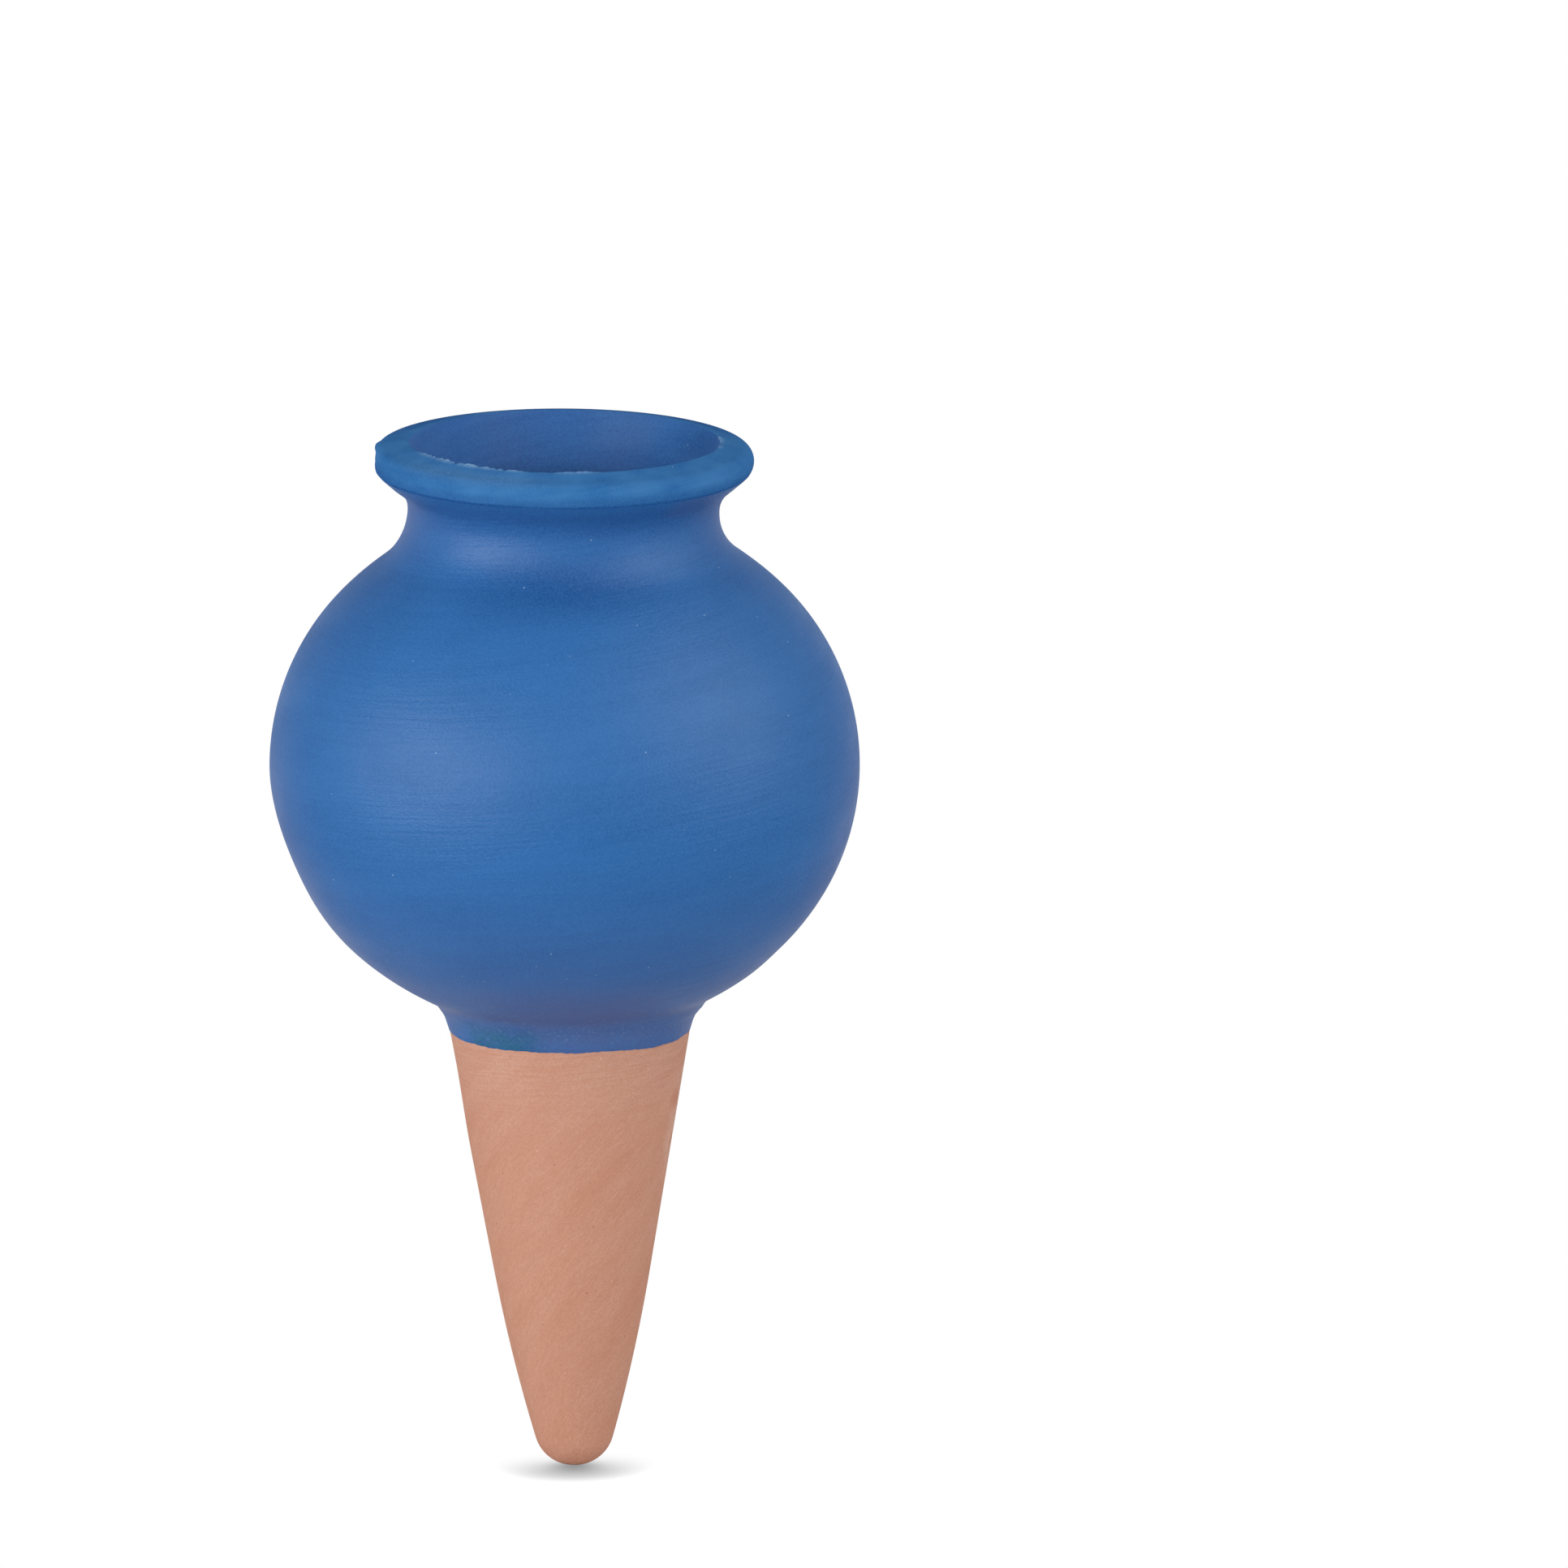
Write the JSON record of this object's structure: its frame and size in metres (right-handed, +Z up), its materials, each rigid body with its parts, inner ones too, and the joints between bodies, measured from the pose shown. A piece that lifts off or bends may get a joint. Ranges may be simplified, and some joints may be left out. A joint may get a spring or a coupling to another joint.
{
  "type": "self watering spike",
  "caption": "Hollow clay globe with a flared, flat-topped mouth on a hollow porous cone. The cone is pushed into soil, and water from the globe seeps out through its bare wall.",
  "frame": {"origin": "on the turning axis at the soil line, where the blue coat ends and the bare cone begins", "axes": "+Z up along the turning axis towards the mouth, -Z towards the tip of the cone; the body is round, so X and Y are free"},
  "size_m": [0.095, 0.095, 0.1684],
  "materials": {
    "globe_clay": "thrown earthenware, unglazed",
    "spike_clay": "wiped porous earthenware, unglazed",
    "fired_slip": "fired slip, sponged smooth",
    "globe_paint": "matt blue brushed coat",
    "rim_paint": "satin cyan-blue brushed coat, heavier than the globe's",
    "throat_paint": "matt deep blue brushed coat"
  },
  "bodies": {
    "root": {"globe": "globe_clay", "spike": "spike_clay", "slip_joint": "fired_slip", "globe_coat": "globe_paint", "rim_coat": "rim_paint", "throat_coat": "throat_paint"}
  },
  "joints": []
}
